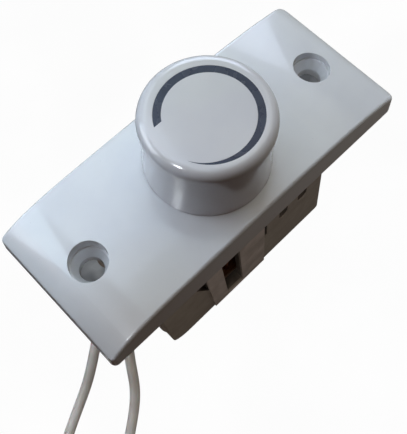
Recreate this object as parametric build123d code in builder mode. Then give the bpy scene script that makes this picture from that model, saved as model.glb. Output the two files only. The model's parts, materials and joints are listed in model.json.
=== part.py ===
"""Rotary dimmer switch on a narrow screw-down plate, with two connection leads.

Millimetres. Origin at the centre of the plate's seating plane, +Z out of the wall towards the hand,
+X along the plate away from the leads. The knob turns about Z.
"""

import os
from math import asin, atan, copysign, cos, degrees, radians, sin

from build123d import *

# ---- Front plate ----
PLATE_LENGTH = 78.4
PLATE_WIDTH = 32.9
LEAD_CORNERS = 1.2
FAR_CORNERS = 2.4
PLATE_HEIGHT = 7.5
PLATE_DRAFT = 5.4
PLATE_EDGE = 0.7
# The crown's arcs from its crest to each end: how far along X each one reaches, and its radius.
LEAD_END_CROWN = [(20.0, 900.0), (28.0, 120.0), (34.5, 30.0), (40.0, 14.0)]
FAR_END_CROWN = [(16.0, 500.0), (27.0, 140.0), (35.5, 90.0), (40.0, 5.9)]
PLATE_WEB = 2.6
FIXING_CENTRES = 60.3
FIXING_HOLE = 2.45
FIXING_HEAD = 3.9
FIXING_CONE = 3.6
CONE_TOP = 3.9
CONE_BOTTOM = 1.8
CORE_DEPTH = 1.6
CORE_WALL = 1.9
CORE_CORNER = 1.0
BOSS_RADIUS = 5.6
SPOT_FACE = 8.0
SPOT_FACE_DEPTH = 0.5

# ---- Fits shared by all parts ----
OVERCUT = 1.0
PRESS_FIT = 0.02
SCREW_FIT = 0.03

# ---- Rear housing ----
HOUSING_LEFT = -27.0
HOUSING_RIGHT = 18.8
HOUSING_HALF_WIDTH = 15.7
HOUSING_DEPTH = 34.2
FAR_END_RISE = 1.8
HOUSING_WALL = 2.0
HOUSING_FLOOR = 3.0
HOUSING_TONGUE = 0.8
NECK_BOTTOM = -2.5
LEAD_END_LEAN = 2.2
CAVITY_LEAN = 1.2
FAR_END_LEAN = 5.5
LEAD_END_CORNER = 5.0
FAR_END_CORNER = 1.0
UPRIGHT_CORNER = 0.8
SLIP = 0.1
SIDE_LEAN = 0.12
PILASTER = (-15.8, 0.6)
PANEL_DEPTH = 0.5
PANEL_TOP = -2.2
OPENING = (-11.6, -6.6)
OPENING_TOP = -3.4
# Each vent: its middle along X, its width and its lowest point.
VENTS = [(1.4, 1.1, -13.6), (6.9, 2.6, -10.8), (12.7, 2.8, -10.4)]
VENT_TOP = -3.4
WINDOW = [(-19.0, -4.6), (-15.8, -4.6), (-15.8, -14.6)]

# ---- Pillars and their screws ----
PILLAR_X = (-22.2, 15.0)
PILLAR_Y = 10.9
PILLAR_RADIUS = 3.1
SCREW_HEAD_SEAT = -6.4
SCREW_HEAD_BORE = 2.3
SCREW_SHANK = 1.2
SCREW_HEAD = 2.1
SCREW_TIP = 4.6
SCREW_CLEARANCE = 0.15
SCREW_HEAD_HEIGHT = 1.6
SCREW_HEAD_EDGE = 0.4
CROSS_LENGTH = 2.2
CROSS_WIDTH = 0.5
CROSS_DEPTH = 0.9

# ---- Knob and its printed dial mark ----
KNOB_RADIUS = 12.4
KNOB_TOP = 23.5
KNOB_FOOT = 7.7
KNOB_FOOT_RADIUS = 12.6
KNOB_RIM = 2.0
KNOB_RIM_BAND = 1.05
KNOB_WALL = 1.6
KNOB_TOP_WALL = 3.0
KNOB_WAIST = 0.08
KNOB_STEP = 0.3
KNOB_HUB = 5.0
KNOB_RIB = 1.0
MARK_OUTER = 9.65
MARK_INNER = 8.2
MARK_DEPTH = 0.2
MARK_OFFSET = -0.4
MARK_BLUNT_Y = 4.5
MARK_TAPER_FROM = -35.0
MARK_TAPER_MIDDLE = -100.0
MARK_TAPER_SHARE = 0.66
MARK_TIP = -157.0
BORE_HEIGHT = 0.2
BORE_FLAT_WIDTH = 4.6
BORE_FLAT_HEIGHT = 5.4
CLIP_THICKNESS = 0.3
CLIP_WIDTH = 3.6
CLIP_HEIGHT = 5.6
CLIP_SLOT = 0.66
CLIP_SLOT_WIDTH = 4.0

# ---- Potentiometer ----
SHAFT_RADIUS = 3.0
SHAFT_TOP = 19.2
SHAFT_FLAT = 1.5
SHAFT_END_CHAMFER = 0.5
RING_THICKNESS = 0.5
RING_GROOVE = 0.5
RING_OUTER = 4.1
RING_MOUTH = 3.2
BUSHING_RADIUS = 4.5
BUSHING_TOP = 11.0
THREAD_PITCH = 0.75
THREAD_DEPTH = 0.35
RUNNING_GAP = 0.05
NUT_ACROSS_FLATS = 12.0
NUT_HEIGHT = 2.2
WASHER_RADIUS = 7.0
WASHER_THICKNESS = 0.6
WASHER_TEETH = 12
TOOTH_GAP = (1.4, 1.0)
TOOTH_TWIST = 20
NUT_CHAMFER = 0.3
CAN_RADIUS = 11.0
CAN_SKIN = 0.8
CAN_BOTTOM = -3.0
LUG_PITCH = 5.0
LUG_WIDTH = 2.2
LUG_THICKNESS = 0.4
LUG_REACH = -12.6
LUG_ROOT = -8.4
LUG_DROP = 5.4
WAFER_THICKNESS = 0.9
DISC_RADIUS = 7.6
DISC_GAP = 0.3
WIPER_OUTER = 5.6
WIPER_INNER = 4.4
WIPER_THICKNESS = 0.3
WIPER_TRACK = 7.4
WIPER_TIP = 0.6

# ---- Rotary mains switch under the potentiometer ----
SWITCH_BOTTOM = -10.5
SWITCH_WALL = 1.2
CAM_TOP = -4.2
CAM_BOTTOM = -8.2
CAM_RADIUS = 4.2
CAM_LOBE = 5.6
LEAF_Y = 5.7
LEAF_THICKNESS = 0.25
LEAF_TOP = -4.7
LEAF_BOTTOM = -7.7
LEAF_ROOT_X = 5.4
LEAF_TIP_X = -7.2
CONTACT_GAP = 0.7
CONTACT_RADIUS = 0.7
CONTACT_HEIGHT = 0.25
POST_WIDTH = 1.6
POST_THICKNESS = 0.6
POST_CLEARANCE = 0.2
LOBE_RADIUS = 1.35

# ---- Circuit board and its components ----
BOARD_TOP = -26.0
BOARD_THICKNESS = 1.6
BOARD_X = (-23.4, 18.0)
BOARD_HALF_WIDTH = 13.3
STANDOFFS = [(-12, -9), (-12, 9), (9, -11), (9, 11)]
STANDOFF_RADIUS = 1.5
LEG_TIP = -29.0
LEG_RADIUS = 0.35
LEG_HOLE = 0.45
LEG_ROOT = 0.4
COMPONENT_LIFT = 0.3
JUMPER_RADIUS = 0.4
JUMPER_TOP = -1.8
FILM_CENTRE = (-13.6, -5.3)
FILM_SIZE = (12.0, 5.0, 10.5)
FILM_PITCH = 10.0
TIMING_CENTRE = (-2.0, -7.6)
TIMING_SIZE = (8.0, 3.2, 6.5)
TIMING_PITCH = 5.0
CHOKE_CENTRE = (-14.6, 4.8)
CHOKE_OUTER = 5.5
CHOKE_INNER = 2.75
CHOKE_HEIGHT = 5.0
CHOKE_TURNS = 16
CHOKE_WIRE = 0.35
CHOKE_LIFT = 1.2
CHOKE_PITCH = 10.0
CHOKE_LEG_Y = -1.9
TURN_CLEARANCE = 0.04
TURN_CORNER = 0.9
FIRST_TURN = 11
AXIAL_X = (-5.0, 3.0)
AXIAL_MIDDLE = -1.0
AXIAL_BEND = 0.8
DIAC_ROW = -3.6
DIAC_RADIUS = 0.95
DIAC_LENGTH = 4.0
DIAC_LIFT = 1.3
RESISTOR_ROWS = (0.2, 3.6)
RESISTOR_RADIUS = 1.2
RESISTOR_LENGTH = 6.4
RESISTOR_LIFT = 1.6
SINK_X = (14.9, 16.4)
TRIAC_X = (10.5, 14.9)
TRIAC_WIDTH = 10.0
TRIAC_BOTTOM = -22.0
TRIAC_TOP = -13.0
TRIAC_CHAMFER = 0.6
TRIAC_LEG_PITCH = 2.54
TRIAC_LEG_SETBACK = 2.2
TAB_TOP = -6.4
TAB_THICKNESS = 1.3
TAB_HOLE = 1.8
SINK_WIDTH = 14.4
SINK_TOP = -1.0
SINK_SCREW_Z = -9.6
SINK_SCREW_HOLE = 1.5
SINK_SCREW_RADIUS = 1.47
SINK_SCREW_HEAD = 2.75
SINK_SCREW_HEAD_HEIGHT = 1.8
SINK_SCREW_SLOT = (0.7, 0.6)

# ---- Leads ----
LEAD_RADIUS = 1.1
LEAD_CORE = 0.5
LEAD_HOLE = 1.28
LEAD_STRIP = 6.0
LEAD_EXIT_Z = -14.0
LEAD_EXITS = [-0.4, -3.4]
LEAD_PAD_X = -22.2
LEAD_RISE = 3.0
LEAD_BEND = 4.0
FLOOR_LEVEL = -HOUSING_DEPTH + LEAD_RADIUS

os.makedirs("parts", exist_ok=True)


def on_circle(radius, angle):
    """The point at an angle in degrees on a circle about the origin."""
    return (radius * cos(radians(angle)), radius * sin(radians(angle)))


def add_legs(points):
    """Adds round component legs, from the board's top through it, to the part being built."""
    with BuildSketch(Plane.XY.offset(LEG_TIP)) as rounds:
        with Locations(*points):
            Circle(LEG_RADIUS)
    extrude(rounds.sketch, amount=BOARD_TOP + LEG_ROOT - LEG_TIP)


def add_bent_wire(y, height):
    """Adds the wire of an axial component, bent down through the board at both ends."""
    with BuildLine(Plane.XZ.offset(-y)) as bent:
        FilletPolyline(
            (AXIAL_X[0], LEG_TIP),
            (AXIAL_X[0], height),
            (AXIAL_X[1], height),
            (AXIAL_X[1], LEG_TIP),
            radius=AXIAL_BEND,
        )
    with BuildSketch(Plane((AXIAL_X[0], y, LEG_TIP))) as section:
        Circle(LEG_RADIUS)
    sweep(section.sketch, path=bent.wire())


def half_crown(side, arcs):
    """Adds tangent arcs from the crown's crest to one end, side +1 or -1 along X, and gives the last one."""
    point, slope, done = (0, PLATE_HEIGHT), 0.0, 0.0
    for reach, radius in arcs:
        steeper = degrees(asin(sin(radians(slope)) + (reach - done) / radius))
        heading = (side * cos(radians(slope)), -sin(radians(slope)))
        arc = JernArc(point, heading, radius, side * (slope - steeper))
        point, slope, done = arc @ 1, steeper, reach
    return arc


# ---- Front plate: drafted outline under a crown that falls away faster near its ends, cored from below ----
web_under = PLATE_HEIGHT - PLATE_WEB
cavity_left = HOUSING_LEFT + HOUSING_WALL
cavity_right = HOUSING_RIGHT - HOUSING_WALL
cavity_half = HOUSING_HALF_WIDTH - HOUSING_WALL
cavity_middle = (cavity_left + cavity_right) / 2
housing_middle = (HOUSING_LEFT + HOUSING_RIGHT) / 2
pillars = [(x, y) for x in PILLAR_X for y in (-PILLAR_Y, PILLAR_Y)]
fixings = [(-FIXING_CENTRES / 2, 0), (FIXING_CENTRES / 2, 0)]
core_ends = [
    (-PLATE_LENGTH / 2 + CORE_WALL, HOUSING_LEFT - CORE_WALL),
    (HOUSING_RIGHT + CORE_WALL, PLATE_LENGTH / 2 - CORE_WALL),
]
core_width = PLATE_WIDTH - 2 * CORE_WALL

with BuildPart() as front_plate:
    with BuildSketch() as outline:
        Rectangle(PLATE_LENGTH, PLATE_WIDTH)
        fillet(outline.vertices().group_by(Axis.X)[0], radius=LEAD_CORNERS)
        fillet(outline.vertices().group_by(Axis.X)[-1], radius=FAR_CORNERS)
    extrude(amount=PLATE_HEIGHT + OVERCUT, taper=PLATE_DRAFT)
    with BuildSketch(Plane.XZ):
        with BuildLine():
            lead_end = half_crown(-1, LEAD_END_CROWN)
            far_end = half_crown(1, FAR_END_CROWN)
            Polyline(lead_end @ 1, ((lead_end @ 1).X, 0), ((far_end @ 1).X, 0), far_end @ 1)
        make_face()
    extrude(amount=PLATE_WIDTH, both=True, mode=Mode.INTERSECT)
    top_faces = front_plate.faces().filter_by(GeomType.CYLINDER).filter_by(
        lambda face: face.normal_at().Z > 0.5
    )
    top_edges = [
        edge
        for edge in front_plate.edges()
        if sum(edge in face.edges() for face in top_faces) == 1
    ]
    fillet(top_edges, radius=PLATE_EDGE)
    with BuildSketch():
        with Locations((housing_middle, 0)):
            Rectangle(
                HOUSING_RIGHT - HOUSING_LEFT + 2 * SLIP,
                2 * (HOUSING_HALF_WIDTH + SLIP),
            )
    extrude(amount=HOUSING_TONGUE, mode=Mode.SUBTRACT)
    with BuildSketch():
        with Locations((cavity_middle, 0)):
            Rectangle(cavity_right - cavity_left, 2 * cavity_half)
    extrude(amount=web_under, mode=Mode.SUBTRACT)
    with BuildSketch(Plane.XY.offset(HOUSING_TONGUE)):
        with Locations(*pillars):
            Circle(PILLAR_RADIUS)
    extrude(amount=web_under - HOUSING_TONGUE)
    with BuildSketch(Plane.XY.offset(HOUSING_TONGUE)):
        with Locations(*pillars):
            Circle(SCREW_SHANK + SCREW_FIT)
    extrude(amount=SCREW_TIP + POST_CLEARANCE - HOUSING_TONGUE, mode=Mode.SUBTRACT)
    with BuildSketch() as core:
        for left, right in core_ends:
            with Locations(((left + right) / 2, 0)):
                RectangleRounded(right - left, core_width, CORE_CORNER)
        with Locations(*fixings):
            Circle(BOSS_RADIUS, mode=Mode.SUBTRACT)
    extrude(amount=CORE_DEPTH, mode=Mode.SUBTRACT)
    with BuildSketch(Plane.XY.offset(CONE_TOP)):
        with Locations(*fixings):
            Circle(FIXING_HEAD)
    extrude(amount=PLATE_HEIGHT, mode=Mode.SUBTRACT)
    for fixing in fixings:
        with BuildSketch(Plane.XY.offset(CONE_BOTTOM)):
            with Locations(fixing):
                Circle(FIXING_HOLE)
        with BuildSketch(Plane.XY.offset(CONE_TOP)):
            with Locations(fixing):
                Circle(FIXING_CONE)
        loft(mode=Mode.SUBTRACT)
    with Locations(*fixings):
        Hole(FIXING_HOLE)
    with BuildSketch(Plane.XY.offset(PLATE_HEIGHT - SPOT_FACE_DEPTH)):
        Circle(SPOT_FACE)
    extrude(amount=OVERCUT, mode=Mode.SUBTRACT)
    Hole(BUSHING_RADIUS + SLIP)
front_plate.part.label = "front_plate"
export_step(front_plate.part, "parts/front_plate.step")

# ---- Rear housing: a cup whose end walls lean towards the far end, with panels, vents and one opening ----
rim_top = HOUSING_TONGUE - SLIP
floor_top = -HOUSING_DEPTH + HOUSING_FLOOR
lead_foot = HOUSING_LEFT + LEAD_END_LEAN
far_foot = HOUSING_RIGHT + FAR_END_LEAN
floor_middle = ((lead_foot + far_foot) / 2, FAR_END_RISE / 2 - HOUSING_DEPTH)
panels = [(HOUSING_LEFT - HOUSING_WALL, PILASTER[0]), (PILASTER[1], far_foot)]
panel_bottom = -HOUSING_DEPTH - OVERCUT
cavity_foot = cavity_left + CAVITY_LEAN


def leaning(points):
    """Points on the housing's side, moved towards the far end by their depth."""
    return [(x - SIDE_LEAN * z, z) for x, z in points]


def upright_band(left, right, top, bottom):
    """Corners of a band on the housing's side whose upright edges lean with the end walls."""
    return leaning([(left, top), (right, top), (right, bottom), (left, bottom)])


with BuildPart() as rear_housing:
    with BuildSketch(Plane.XZ):
        with BuildLine():
            FilletPolyline(
                (HOUSING_LEFT, rim_top),
                (lead_foot, -HOUSING_DEPTH),
                floor_middle,
                radius=LEAD_END_CORNER,
            )
            FilletPolyline(
                floor_middle,
                (far_foot, FAR_END_RISE - HOUSING_DEPTH),
                (HOUSING_RIGHT, NECK_BOTTOM),
                radius=FAR_END_CORNER,
            )
            Polyline((HOUSING_RIGHT, NECK_BOTTOM), (HOUSING_RIGHT, rim_top), (HOUSING_LEFT, rim_top))
        make_face()
    extrude(amount=HOUSING_HALF_WIDTH, both=True)
    uprights = rear_housing.edges().filter_by(lambda edge: abs((edge % 0.5).Z) > 0.9)
    fillet(uprights, radius=UPRIGHT_CORNER)
    with BuildSketch(Plane.XZ):
        with BuildLine():
            FilletPolyline(
                (cavity_left, HOUSING_TONGUE),
                (cavity_foot, floor_top),
                (0, floor_top),
                radius=LEAD_END_CORNER - HOUSING_WALL,
            )
            Polyline(
                (0, floor_top),
                (far_foot - HOUSING_WALL, floor_top),
                (cavity_right, NECK_BOTTOM),
                (cavity_right, HOUSING_TONGUE),
                (cavity_left, HOUSING_TONGUE),
            )
        make_face()
    extrude(amount=cavity_half, both=True, mode=Mode.SUBTRACT)
    with BuildSketch(Plane.XY.offset(floor_top)):
        with Locations(*pillars):
            Circle(PILLAR_RADIUS)
    extrude(amount=rim_top - floor_top)
    with BuildSketch(Plane.XY.offset(floor_top)):
        with Locations(*STANDOFFS):
            Circle(STANDOFF_RADIUS)
    extrude(amount=BOARD_TOP - BOARD_THICKNESS - floor_top)
    with BuildSketch(Plane.XY.offset(-HOUSING_DEPTH)):
        with Locations(*pillars):
            Circle(SCREW_HEAD_BORE)
    extrude(amount=HOUSING_DEPTH + SCREW_HEAD_SEAT, mode=Mode.SUBTRACT)
    with BuildSketch(Plane.XY.offset(-HOUSING_DEPTH)):
        with Locations(*pillars):
            Circle(SCREW_SHANK + SCREW_CLEARANCE)
    extrude(amount=HOUSING_DEPTH + HOUSING_TONGUE, mode=Mode.SUBTRACT)
    for side in (-1, 1):
        outer_face = Plane.XZ.offset(HOUSING_HALF_WIDTH * side)
        inward = -side
        with BuildSketch(outer_face):
            for left, right in panels:
                Polygon(*upright_band(left, right, PANEL_TOP, panel_bottom), align=None)
        extrude(amount=PANEL_DEPTH * inward, mode=Mode.SUBTRACT)
        with BuildSketch(outer_face):
            Polygon(*upright_band(*OPENING, OPENING_TOP, floor_top), align=None)
            Polygon(*leaning(WINDOW), align=None)
            for vent_x, vent_width, vent_bottom in VENTS:
                with Locations(*leaning([(vent_x, (VENT_TOP + vent_bottom) / 2)])):
                    SlotOverall(VENT_TOP - vent_bottom, vent_width, rotation=90 + degrees(atan(SIDE_LEAN)))
        extrude(amount=HOUSING_WALL * inward, mode=Mode.SUBTRACT)
    with BuildSketch(Plane.YZ.offset(HOUSING_LEFT - OVERCUT)):
        with Locations(*[(y, LEAD_EXIT_Z) for y in LEAD_EXITS]):
            Circle(LEAD_HOLE)
    extrude(amount=HOUSING_WALL + 2 * OVERCUT, mode=Mode.SUBTRACT)
rear_housing.part.label = "rear_housing"
export_step(rear_housing.part, "parts/rear_housing.step")

# ---- Housing screws: pan heads deep in the pillars, threaded into the plate's bosses ----
with BuildPart() as housing_screws:
    with BuildSketch(Plane.XY.offset(SCREW_HEAD_SEAT)):
        with Locations(*pillars):
            Circle(SCREW_SHANK)
    extrude(amount=SCREW_TIP - SCREW_HEAD_SEAT)
    with BuildSketch(Plane.XY.offset(SCREW_HEAD_SEAT)):
        with Locations(*pillars):
            Circle(SCREW_HEAD)
    extrude(amount=-SCREW_HEAD_HEIGHT)
    chamfer(housing_screws.edges().group_by(Axis.Z)[0], length=SCREW_HEAD_EDGE)
    with BuildSketch(Plane.XY.offset(SCREW_HEAD_SEAT - SCREW_HEAD_HEIGHT)):
        with Locations(*pillars):
            Rectangle(CROSS_LENGTH, CROSS_WIDTH)
            Rectangle(CROSS_WIDTH, CROSS_LENGTH)
    extrude(amount=CROSS_DEPTH, mode=Mode.SUBTRACT)
housing_screws.part.label = "housing_screws"
export_step(housing_screws.part, "parts/housing_screws.step")

# ---- Knob: flared hollow skirt under a rounded rim, hub with a D bore, four webs ----
flat_y = SHAFT_RADIUS - SHAFT_FLAT
hub_bottom = BUSHING_TOP + OVERCUT
knob_ceiling = KNOB_TOP - KNOB_TOP_WALL
skirt_top_radius = KNOB_RADIUS - KNOB_STEP
web_bottom = hub_bottom + OVERCUT
web_span = 2 * (skirt_top_radius - OVERCUT)
flat_bottom = hub_bottom + CLIP_WIDTH / 3
rim_under = KNOB_TOP - KNOB_RIM - KNOB_RIM_BAND

with BuildPart() as knob:
    with BuildSketch(Plane.XZ):
        with BuildLine():
            top = Line((0, KNOB_TOP), (KNOB_RADIUS - KNOB_RIM, KNOB_TOP))
            rim = JernArc(top @ 1, (1, 0), KNOB_RIM, -90)
            Polyline(rim @ 1, (KNOB_RADIUS, rim_under), (skirt_top_radius, rim_under - KNOB_STEP))
            ThreePointArc(
                (skirt_top_radius, rim_under - KNOB_STEP),
                (skirt_top_radius + KNOB_WAIST, (rim_under + KNOB_FOOT) / 2),
                (KNOB_FOOT_RADIUS, KNOB_FOOT),
            )
            Polyline(
                (KNOB_FOOT_RADIUS, KNOB_FOOT),
                (KNOB_FOOT_RADIUS - KNOB_WALL, KNOB_FOOT),
                (skirt_top_radius - KNOB_WALL, knob_ceiling),
                (KNOB_HUB, knob_ceiling),
                (KNOB_HUB, hub_bottom),
                (0, hub_bottom),
                (0, KNOB_TOP),
            )
        make_face()
    revolve(axis=Axis.Z)
    with BuildSketch(Plane.XY.offset(web_bottom)):
        Rectangle(web_span, KNOB_RIB)
        Rectangle(KNOB_RIB, web_span)
    extrude(amount=knob_ceiling - web_bottom)
    with BuildSketch(Plane.XY.offset(hub_bottom)):
        Circle(SHAFT_RADIUS + PRESS_FIT)
    extrude(amount=SHAFT_TOP + BORE_HEIGHT - hub_bottom, mode=Mode.SUBTRACT)
    with BuildSketch(Plane.XY.offset(flat_bottom)):
        with Locations((0, -(flat_y + SLIP + SHAFT_RADIUS / 2))):
            Rectangle(BORE_FLAT_WIDTH, SHAFT_RADIUS)
        Circle(SHAFT_RADIUS + PRESS_FIT, mode=Mode.SUBTRACT)
    extrude(amount=BORE_FLAT_HEIGHT)
    with BuildSketch(Plane.XY.offset(hub_bottom)):
        with Locations((0, -(flat_y + CLIP_SLOT / 2))):
            Rectangle(CLIP_SLOT_WIDTH, CLIP_SLOT)
    extrude(amount=flat_bottom + BORE_FLAT_HEIGHT - hub_bottom, mode=Mode.SUBTRACT)
knob_body = knob.part

# The mark: full width from a blunt end, over the top and down, then thinning to a point. It is printed
# a little off the centre.
blunt_outer = (-((MARK_OUTER**2 - MARK_BLUNT_Y**2) ** 0.5), MARK_BLUNT_Y)
blunt_inner = (-((MARK_INNER**2 - MARK_BLUNT_Y**2) ** 0.5), MARK_BLUNT_Y)
taper_middle = MARK_INNER + (MARK_OUTER - MARK_INNER) * (1 - MARK_TAPER_SHARE)

with BuildPart() as dial_mark:
    with BuildSketch(Plane((0, MARK_OFFSET, KNOB_TOP - MARK_DEPTH))):
        with BuildLine():
            ThreePointArc(blunt_outer, on_circle(MARK_OUTER, 0), on_circle(MARK_OUTER, MARK_TIP))
            ThreePointArc(
                on_circle(MARK_OUTER, MARK_TIP),
                on_circle(taper_middle, MARK_TAPER_MIDDLE),
                on_circle(MARK_INNER, MARK_TAPER_FROM),
            )
            ThreePointArc(on_circle(MARK_INNER, MARK_TAPER_FROM), on_circle(MARK_INNER, 60), blunt_inner)
            Line(blunt_inner, blunt_outer)
        make_face()
    extrude(amount=MARK_DEPTH)
dial_mark.part.label = "dial_mark"
export_step(dial_mark.part, "parts/dial_mark.step")

with BuildPart() as marked_knob:
    add(knob_body)
    add(dial_mark.part, mode=Mode.SUBTRACT)
marked_knob.part.label = "knob"
export_step(marked_knob.part, "parts/knob.step")

# ---- Knob clip: bowed leaf spring that presses on the shaft's flat ----
with BuildPart() as knob_clip:
    with BuildSketch(Plane.YZ):
        with Locations((-(flat_y + CLIP_SLOT - CLIP_THICKNESS), hub_bottom + CLIP_WIDTH)):
            Rectangle(CLIP_THICKNESS, CLIP_HEIGHT)
    extrude(amount=CLIP_WIDTH / 2, both=True)
knob_clip.part.label = "knob_clip"
export_step(knob_clip.part, "parts/knob_clip.step")

# ---- Potentiometer shaft: steel, D-shaped end for the knob, grooved for the retaining clip ----
ring_seat = BUSHING_TOP + SLIP
shaft_bottom = CAM_BOTTOM - POST_THICKNESS
flat_foot = hub_bottom + LEG_ROOT

with BuildPart() as pot_shaft:
    with BuildSketch(Plane.XY.offset(shaft_bottom)):
        Circle(SHAFT_RADIUS)
    extrude(amount=SHAFT_TOP - shaft_bottom)
    chamfer(pot_shaft.edges().group_by(Axis.Z)[-1], length=SHAFT_END_CHAMFER)
    with BuildSketch(Plane.XY.offset(flat_foot)):
        with Locations((0, -(flat_y + SHAFT_RADIUS / 2))):
            Rectangle(3 * SHAFT_RADIUS, SHAFT_RADIUS)
    extrude(amount=SHAFT_TOP, mode=Mode.SUBTRACT)
    with BuildSketch(Plane.XY.offset(ring_seat - RUNNING_GAP)):
        Circle(SHAFT_RADIUS + OVERCUT)
        Circle(SHAFT_RADIUS - RING_GROOVE, mode=Mode.SUBTRACT)
    extrude(amount=RING_THICKNESS + 2 * RUNNING_GAP, mode=Mode.SUBTRACT)
pot_shaft.part.label = "pot_shaft"
export_step(pot_shaft.part, "parts/pot_shaft.step")

with BuildPart() as shaft_clip:
    with BuildSketch(Plane.XY.offset(ring_seat)):
        Circle(RING_OUTER)
        Circle(SHAFT_RADIUS - RING_GROOVE + RUNNING_GAP, mode=Mode.SUBTRACT)
        with Locations((0, SHAFT_RADIUS)):
            Rectangle(RING_MOUTH, 2 * SHAFT_RADIUS, mode=Mode.SUBTRACT)
    extrude(amount=RING_THICKNESS)
shaft_clip.part.label = "shaft_clip"
export_step(shaft_clip.part, "parts/shaft_clip.step")

# ---- Bushing: threaded brass barrel staked in the can's cover ----
cover_top = web_under
cover_under = cover_top - CAN_SKIN
thread_turns = int((BUSHING_TOP - cover_top) / THREAD_PITCH)

with BuildPart() as pot_bushing:
    with BuildSketch(Plane.XZ):
        with BuildLine():
            ridges = [(BUSHING_RADIUS, cover_under), (BUSHING_RADIUS, cover_top)]
            for turn in range(thread_turns):
                foot = cover_top + turn * THREAD_PITCH
                ridges.append((BUSHING_RADIUS - THREAD_DEPTH, foot + THREAD_PITCH / 2))
                ridges.append((BUSHING_RADIUS, foot + THREAD_PITCH))
            Polyline(
                *ridges,
                (BUSHING_RADIUS - THREAD_DEPTH, BUSHING_TOP),
                (SHAFT_RADIUS + RUNNING_GAP, BUSHING_TOP),
                (SHAFT_RADIUS + RUNNING_GAP, cover_under),
                (BUSHING_RADIUS, cover_under),
            )
        make_face()
    revolve(axis=Axis.Z)
pot_bushing.part.label = "pot_bushing"
export_step(pot_bushing.part, "parts/pot_bushing.step")

washer_under = PLATE_HEIGHT - SPOT_FACE_DEPTH
with BuildPart() as pot_washer:
    with BuildSketch(Plane.XY.offset(washer_under)):
        Circle(WASHER_RADIUS)
        Circle(BUSHING_RADIUS + SLIP, mode=Mode.SUBTRACT)
        with PolarLocations(WASHER_RADIUS, WASHER_TEETH):
            Rectangle(*TOOTH_GAP, rotation=TOOTH_TWIST, mode=Mode.SUBTRACT)
    extrude(amount=WASHER_THICKNESS)
pot_washer.part.label = "pot_washer"
export_step(pot_washer.part, "parts/pot_washer.step")

nut_under = washer_under + WASHER_THICKNESS
with BuildPart() as pot_nut:
    with BuildSketch(Plane.XY.offset(nut_under)):
        RegularPolygon(NUT_ACROSS_FLATS / 2, 6, major_radius=False)
        Circle(BUSHING_RADIUS + SCREW_FIT, mode=Mode.SUBTRACT)
    extrude(amount=NUT_HEIGHT)
    chamfer(pot_nut.edges().filter_by(GeomType.CIRCLE).group_by(Axis.Z)[-1], length=NUT_CHAMFER)
pot_nut.part.label = "pot_nut"
export_step(pot_nut.part, "parts/pot_nut.step")

# ---- Potentiometer can: a steel cover with the bushing, and a cup closed by it ----
with BuildPart() as pot_cover:
    with BuildSketch(Plane.XY.offset(cover_under)):
        Circle(CAN_RADIUS)
        Circle(BUSHING_RADIUS, mode=Mode.SUBTRACT)
    extrude(amount=CAN_SKIN)
pot_cover.part.label = "pot_cover"
export_step(pot_cover.part, "parts/pot_cover.step")

wafer_top = cover_under
wafer_under = wafer_top - WAFER_THICKNESS
with BuildPart() as pot_can:
    with BuildSketch(Plane.XY.offset(CAN_BOTTOM)):
        Circle(CAN_RADIUS)
    extrude(amount=cover_under - CAN_BOTTOM)
    with BuildSketch(Plane.XY.offset(CAN_BOTTOM + CAN_SKIN)):
        Circle(CAN_RADIUS - CAN_SKIN)
    extrude(amount=cover_under - CAN_BOTTOM, mode=Mode.SUBTRACT)
    Hole(SHAFT_RADIUS + DISC_GAP)
    with BuildSketch(Plane.XY.offset(wafer_under - 2 * LUG_THICKNESS)):
        with Locations((0, -CAN_RADIUS)):
            Rectangle(3 * LUG_PITCH, 2 * SHAFT_RADIUS)
    extrude(amount=cover_under, mode=Mode.SUBTRACT)
pot_can.part.label = "pot_can"
export_step(pot_can.part, "parts/pot_can.step")

with BuildPart() as resistance_wafer:
    with BuildSketch(Plane.XY.offset(wafer_under)):
        Circle(CAN_RADIUS - CAN_SKIN - SLIP)
        Circle(SHAFT_RADIUS + 2 * DISC_GAP, mode=Mode.SUBTRACT)
    extrude(amount=wafer_top - wafer_under)
resistance_wafer.part.label = "resistance_wafer"
export_step(resistance_wafer.part, "parts/resistance_wafer.step")

with BuildPart() as pot_terminals:
    with BuildSketch(Plane.XY.offset(wafer_under - LUG_THICKNESS)):
        with GridLocations(LUG_PITCH, 0, 3, 1):
            with Locations((0, (LUG_REACH + LUG_ROOT) / 2)):
                Rectangle(LUG_WIDTH, LUG_ROOT - LUG_REACH)
    extrude(amount=LUG_THICKNESS)
    with BuildSketch(Plane.XY.offset(wafer_under)):
        with GridLocations(LUG_PITCH, 0, 3, 1):
            with Locations((0, LUG_REACH + LUG_THICKNESS / 2)):
                Rectangle(LUG_WIDTH, LUG_THICKNESS)
    extrude(amount=-LUG_DROP)
pot_terminals.part.label = "pot_terminals"
export_step(pot_terminals.part, "parts/pot_terminals.step")

# ---- Wiper: moulded disc fixed on the shaft, with a sprung bronze bridge ----
disc_top = wafer_under - OVERCUT
disc_bottom = CAN_BOTTOM + CAN_SKIN + DISC_GAP
with BuildPart() as wiper_disc:
    with BuildSketch(Plane.XY.offset(disc_bottom)):
        Circle(DISC_RADIUS)
        Circle(SHAFT_RADIUS, mode=Mode.SUBTRACT)
        with Locations((WIPER_TRACK, 0)):
            Rectangle(SHAFT_RADIUS, LUG_WIDTH)
    extrude(amount=disc_top - disc_bottom)
wiper_disc.part.label = "wiper_disc"
export_step(wiper_disc.part, "parts/wiper_disc.step")

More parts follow.
